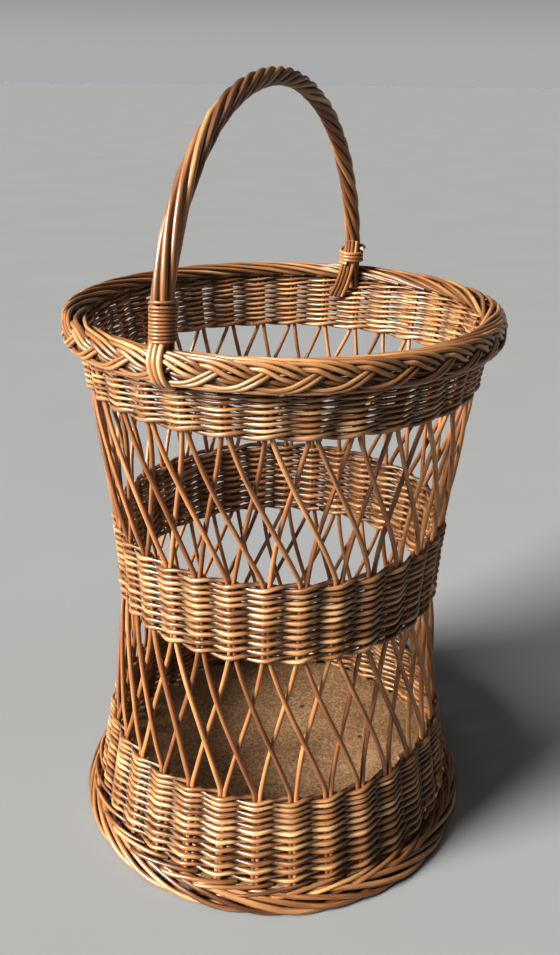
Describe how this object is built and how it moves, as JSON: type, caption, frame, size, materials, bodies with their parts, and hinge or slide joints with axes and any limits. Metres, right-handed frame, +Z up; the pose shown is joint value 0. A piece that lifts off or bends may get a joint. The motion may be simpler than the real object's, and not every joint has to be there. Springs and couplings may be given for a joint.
{
  "type": "wicker log basket",
  "caption": "Hourglass wicker log basket with open lattices of crossed stakes, woven bands, plaited borders and a fixed rope-twisted arch handle.",
  "frame": {"origin": "on the floor, under the centre of the base board", "axes": "+Z up through the open mouth; the handle's arch runs from the front left (-X, -Y) to the back right (+X, +Y)"},
  "size_m": [0.4388, 0.4388, 0.7878],
  "materials": {
    "stakes": "varnished willow, honey brown, glossy",
    "weave": "varnished willow, golden, glossy",
    "border": "varnished willow, golden, glossy",
    "handle": "varnished willow, honey brown, glossy",
    "binding": "varnished thin willow, orange brown, glossy",
    "board": "pressed board, dull, speckled"
  },
  "bodies": {
    "root": {"base_board": "board", "foot_border": "border", "stake_pair_01": "stakes", "stake_pair_02": "stakes", "stake_pair_03": "stakes", "stake_pair_04": "stakes", "stake_pair_05": "stakes", "stake_pair_06": "stakes", "stake_pair_07": "stakes", "stake_pair_08": "stakes", "stake_pair_09": "stakes", "stake_pair_10": "stakes", "stake_pair_11": "stakes", "stake_pair_12": "stakes", "stake_pair_13": "stakes", "stake_pair_14": "stakes", "stake_pair_15": "stakes", "stake_pair_16": "stakes", "stake_pair_17": "stakes", "stake_pair_18": "stakes", "stake_pair_19": "stakes", "stake_pair_20": "stakes", "stake_pair_21": "stakes", "stake_pair_22": "stakes", "stake_pair_23": "stakes", "stake_pair_24": "stakes", "stake_pair_25": "stakes", "stake_pair_26": "stakes", "stake_pair_27": "stakes", "stake_pair_28": "stakes", "stake_pair_29": "stakes", "stake_pair_30": "stakes", "stake_pair_31": "stakes", "stake_pair_32": "stakes", "lower_band": "weave", "middle_band": "weave", "upper_band": "weave", "rim_border": "border", "handle_bow": "handle", "handle_rod_1": "handle", "handle_rod_2": "handle", "handle_rod_3": "handle", "handle_rod_4": "handle", "handle_rod_5": "handle", "handle_rod_6": "handle", "front_binding": "binding", "back_binding": "binding", "front_leg_rod_1": "handle", "front_leg_rod_2": "handle", "front_leg_rod_3": "handle", "back_leg_rod_1": "handle", "back_leg_rod_2": "handle", "back_leg_rod_3": "handle", "back_leg_rod_4": "handle"}
  },
  "joints": []
}
